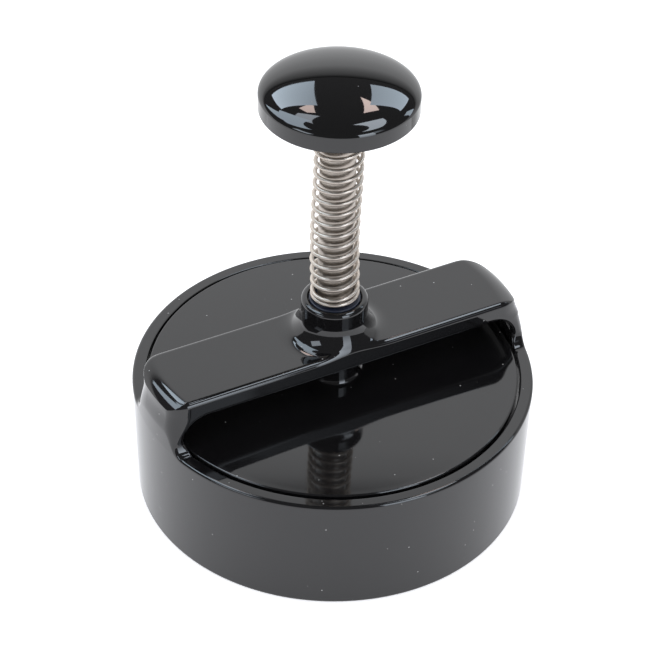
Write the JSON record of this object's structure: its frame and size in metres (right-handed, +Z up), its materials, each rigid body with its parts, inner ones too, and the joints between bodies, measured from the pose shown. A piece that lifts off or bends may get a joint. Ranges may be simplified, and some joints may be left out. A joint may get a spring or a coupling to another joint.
{
  "type": "patty press",
  "caption": "Hand press for burger patties: a ring mould with a bridge and collar, and a sprung plunger with a round press plate and a mushroom knob.",
  "frame": {"origin": "centre of the ring's bottom face, on the surface it stands on", "axes": "+Z up along the plunger towards the knob; the bridge lies along X"},
  "size_m": [0.12, 0.12, 0.1428],
  "materials": {
    "black_coating": "cast aluminium with a glossy black enamel-like coating",
    "knob_black": "polished black",
    "bush_nylon": "dark blue nylon",
    "spring_steel": "drawn stainless wire",
    "rod_steel": "ground stainless bar",
    "insert_brass": "turned",
    "fastener_steel": "turned stainless"
  },
  "bodies": {
    "mould": {"mould_body": "black_coating", "guide_bush": "bush_nylon"},
    "coil": {"return_spring": "spring_steel"},
    "plunger": {"plunger_rod": "rod_steel", "knob": "knob_black", "knob_insert": "insert_brass", "press_plate": "black_coating", "plate_screw": "fastener_steel", "lock_washer": "fastener_steel"}
  },
  "joints": [
    {"name": "spin", "type": "hinge", "parent": "mould", "child": "coil", "pos_m": [0, 0, 0.067], "axis": [0, 0, 1], "continuous": true},
    {"name": "press", "type": "slide", "parent": "coil", "child": "plunger", "axis": [0, 0, -1], "range_m": [0, 0.032], "stiffness_N_per_m": 636, "springref_m": -0.012, "deforming": ["return_spring"]}
  ]
}
